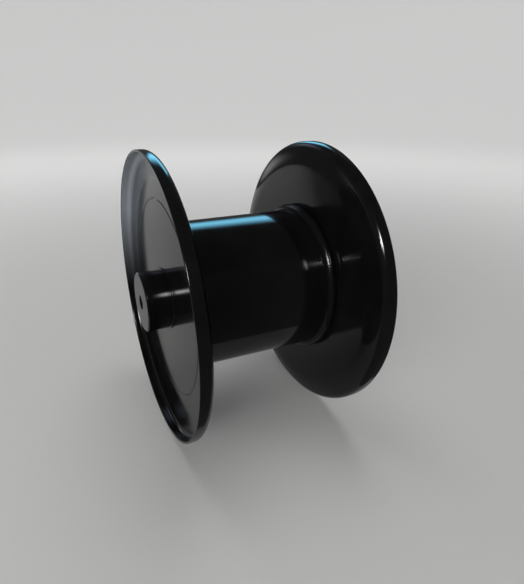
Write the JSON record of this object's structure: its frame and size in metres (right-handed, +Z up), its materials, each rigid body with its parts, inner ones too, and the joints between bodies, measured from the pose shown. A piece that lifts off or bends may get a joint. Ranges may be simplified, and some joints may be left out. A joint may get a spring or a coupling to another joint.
{
  "type": "spool",
  "caption": "Empty steel spool lying on its rims: two dished flanges on a plain barrel, with a short shaft journal standing out of each end.",
  "frame": {"origin": "middle of the spool's axis, halfway between the flanges", "axes": "+X along the spool's axis from the left flange to the right one, +Z up, -Y towards the viewer's side"},
  "size_m": [0.179, 0.25, 0.25],
  "materials": {
    "flange_paint": "gloss black enamel",
    "barrel_paint": "gloss black enamel",
    "weld_paint": "gloss black enamel",
    "shaft_paint": "gloss black enamel"
  },
  "bodies": {
    "root": {"left_flange": "flange_paint", "right_flange": "flange_paint", "barrel": "barrel_paint", "left_weld": "weld_paint", "right_weld": "weld_paint", "shaft": "shaft_paint"}
  },
  "joints": []
}
